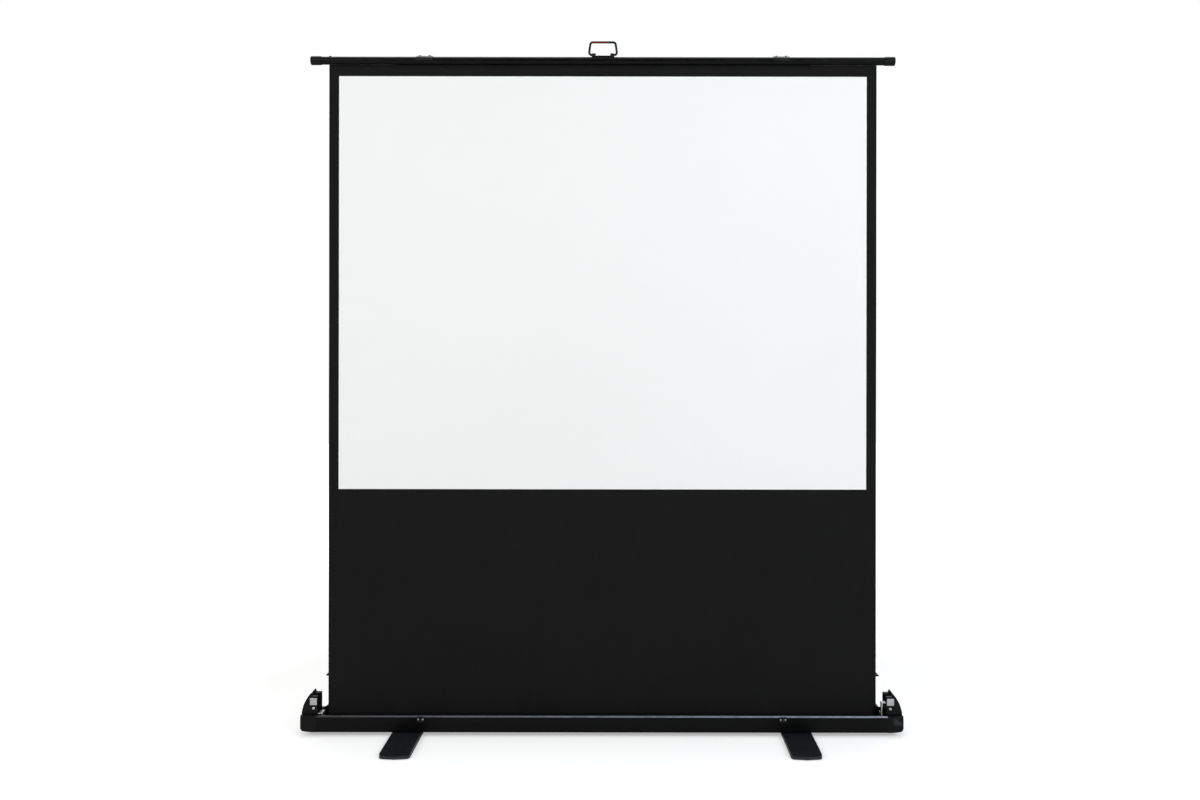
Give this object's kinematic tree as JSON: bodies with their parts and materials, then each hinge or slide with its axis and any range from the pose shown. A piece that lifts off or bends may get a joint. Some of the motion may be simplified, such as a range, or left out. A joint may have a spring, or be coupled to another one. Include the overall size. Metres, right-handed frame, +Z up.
{
  "type": "projector screen",
  "caption": "Floor-standing pull-up projector screen with a black-bordered white sheet, a scissor lift, a long low case with a hinged lid, and swivelling feet.",
  "frame": {"origin": "on the floor under the middle of the case", "axes": "+X to the right of someone facing the sheet, +Y from front to back, +Z up"},
  "size_m": [1.811, 0.4698, 2.0987],
  "materials": {
    "black_paint": "black powder coat",
    "black_plastic": "matt",
    "black_steel": "satin black",
    "zinc_steel": "zinc plated",
    "aluminium": "mill",
    "white_nylon": "satin",
    "rubber": "matt",
    "black_cloth": "matt",
    "matt_white": "matt"
  },
  "bodies": {
    "base": {"case_shell": "black_paint", "end_cap_left": "black_plastic", "end_cap_right": "black_plastic", "cap_plate_left": "zinc_steel", "cap_plate_right": "zinc_steel", "cap_screw_left": "zinc_steel", "cap_screw_right": "zinc_steel", "roller_bracket_left": "zinc_steel", "roller_bracket_right": "zinc_steel", "base_track": "aluminium", "lower_pivot_block": "black_plastic", "foot_bolt_left": "zinc_steel", "foot_bolt_right": "zinc_steel", "lid_keeper_left": "zinc_steel", "lid_keeper_right": "zinc_steel", "case_hinge_left": "zinc_steel", "case_hinge_right": "zinc_steel"},
    "lid": {"lid_panel": "black_paint", "lid_hinge_left": "zinc_steel", "lid_hinge_right": "zinc_steel", "latch_base_left": "zinc_steel", "latch_base_right": "zinc_steel"},
    "latch_left": {"lid_latch_left": "black_steel"},
    "latch_right": {"lid_latch_right": "black_steel"},
    "foot_left": {"foot_left": "black_paint", "foot_pad_left_front": "rubber", "foot_pad_left_rear": "rubber"},
    "foot_right": {"foot_right": "black_paint", "foot_pad_right_front": "rubber", "foot_pad_right_rear": "rubber"},
    "roller": {"roller_tube": "aluminium", "roller_wrap": "black_cloth", "roller_plug_left": "black_plastic", "roller_plug_right": "black_plastic"},
    "arm_a1": {"arm_a1": "black_steel", "rivet_middle_1": "zinc_steel", "rivet_right_1": "zinc_steel"},
    "arm_b1": {"arm_b1": "black_steel", "rivet_left_1": "zinc_steel"},
    "arm_a2": {"arm_a2": "black_steel", "rivet_middle_2": "zinc_steel", "rivet_right_2": "zinc_steel"},
    "arm_b2": {"arm_b2": "black_steel", "rivet_left_2": "zinc_steel"},
    "arm_a3": {"arm_a3": "black_steel", "rivet_middle_3": "zinc_steel"},
    "arm_b3": {"arm_b3": "black_steel"},
    "base_slider": {"base_slider": "white_nylon"},
    "bar_slider": {"bar_slider": "white_nylon"},
    "bar": {"top_bar": "black_paint", "bar_plug_left": "black_plastic", "bar_plug_right": "black_plastic", "bar_rail": "black_paint", "rail_clip_left": "black_steel", "rail_clip_right": "black_steel", "upper_pivot_block": "black_plastic", "handle_plate": "black_steel", "screen_fabric": "black_cloth", "projection_surface": "matt_white"},
    "handle": {"pull_handle": "black_steel"}
  },
  "joints": [
    {"name": "lift", "type": "hinge", "parent": "base", "child": "arm_a1", "pos_m": [-0.31754, 0.02305, 0.0286], "axis": [0, 1, 0], "range_deg": [0, 45.2], "deforming": ["screen_fabric", "projection_surface"]},
    {"name": "cross_1", "type": "hinge", "parent": "arm_a1", "child": "arm_b1", "pos_m": [0, 0.02905, 0.36142], "axis": [0, 1, 0], "range_deg": [-90.6, 0]},
    {"name": "elbow_1", "type": "hinge", "parent": "arm_b1", "child": "arm_a2", "pos_m": [-0.31754, 0.02305, 0.69423], "axis": [0, 1, 0], "range_deg": [0, 90.6]},
    {"name": "cross_2", "type": "hinge", "parent": "arm_a2", "child": "arm_b2", "pos_m": [0, 0.02905, 1.02705], "axis": [0, 1, 0], "range_deg": [-90.6, 0]},
    {"name": "elbow_2", "type": "hinge", "parent": "arm_b2", "child": "arm_a3", "pos_m": [-0.31754, 0.02305, 1.35987], "axis": [0, 1, 0], "range_deg": [0, 90.6]},
    {"name": "cross_3", "type": "hinge", "parent": "arm_a3", "child": "arm_b3", "pos_m": [0, 0.02905, 1.69268], "axis": [0, 1, 0], "range_deg": [-90.6, 0]},
    {"name": "bar_pivot", "type": "hinge", "parent": "arm_b3", "child": "bar", "pos_m": [-0.31754, 0.02905, 2.0255], "axis": [0, 1, 0], "range_deg": [0, 45.4]},
    {"name": "base_slider_pivot", "type": "hinge", "parent": "arm_b1", "child": "base_slider", "pos_m": [0.31754, 0.02905, 0.0286], "axis": [0, 1, 0], "range_deg": [0, 45.4]},
    {"name": "bar_slider_pivot", "type": "hinge", "parent": "arm_a3", "child": "bar_slider", "pos_m": [0.31754, 0.02305, 2.0255], "axis": [0, 1, 0], "range_deg": [-45.4, 0]},
    {"name": "roller_turn", "type": "hinge", "parent": "base", "child": "roller", "pos_m": [0, -0.024, 0.042], "axis": [1, 0, 0], "range_deg": [-5828, 0]},
    {"name": "lid_hinge", "type": "hinge", "parent": "base", "child": "lid", "pos_m": [0, 0.0425, 0.068], "axis": [1, 0, 0], "range_deg": [0, 4]},
    {"name": "latch_left_pivot", "type": "hinge", "parent": "lid", "child": "latch_left", "pos_m": [-0.543, 0.06802, 0.16847], "axis": [-1, 0, 0], "range_deg": [0, 100]},
    {"name": "latch_right_pivot", "type": "hinge", "parent": "lid", "child": "latch_right", "pos_m": [0.543, 0.06802, 0.16847], "axis": [-1, 0, 0], "range_deg": [0, 100]},
    {"name": "foot_left_swivel", "type": "hinge", "parent": "base", "child": "foot_left", "pos_m": [-0.585, -0.0045, 0.00775], "axis": [0, 0, 1], "range_deg": [0, 90]},
    {"name": "foot_right_swivel", "type": "hinge", "parent": "base", "child": "foot_right", "pos_m": [0.585, -0.0045, 0.00775], "axis": [0, 0, -1], "range_deg": [0, 90]},
    {"name": "handle_hinge", "type": "hinge", "parent": "bar", "child": "handle", "pos_m": [0, -0.00755, 2.0567], "axis": [-1, 0, 0], "range_deg": [0, 90]}
  ],
  "couplings": [
    {"joint": "cross_1", "follows": "lift", "ratio": -2},
    {"joint": "elbow_1", "follows": "lift", "ratio": 2},
    {"joint": "cross_2", "follows": "lift", "ratio": -2},
    {"joint": "elbow_2", "follows": "lift", "ratio": 2},
    {"joint": "cross_3", "follows": "lift", "ratio": -2},
    {"joint": "bar_pivot", "follows": "lift", "ratio": 1},
    {"joint": "base_slider_pivot", "follows": "lift", "ratio": 1},
    {"joint": "bar_slider_pivot", "follows": "lift", "ratio": -1},
    {"joint": "roller_turn", "follows": "lift", "ratio": -128.5}
  ]
}
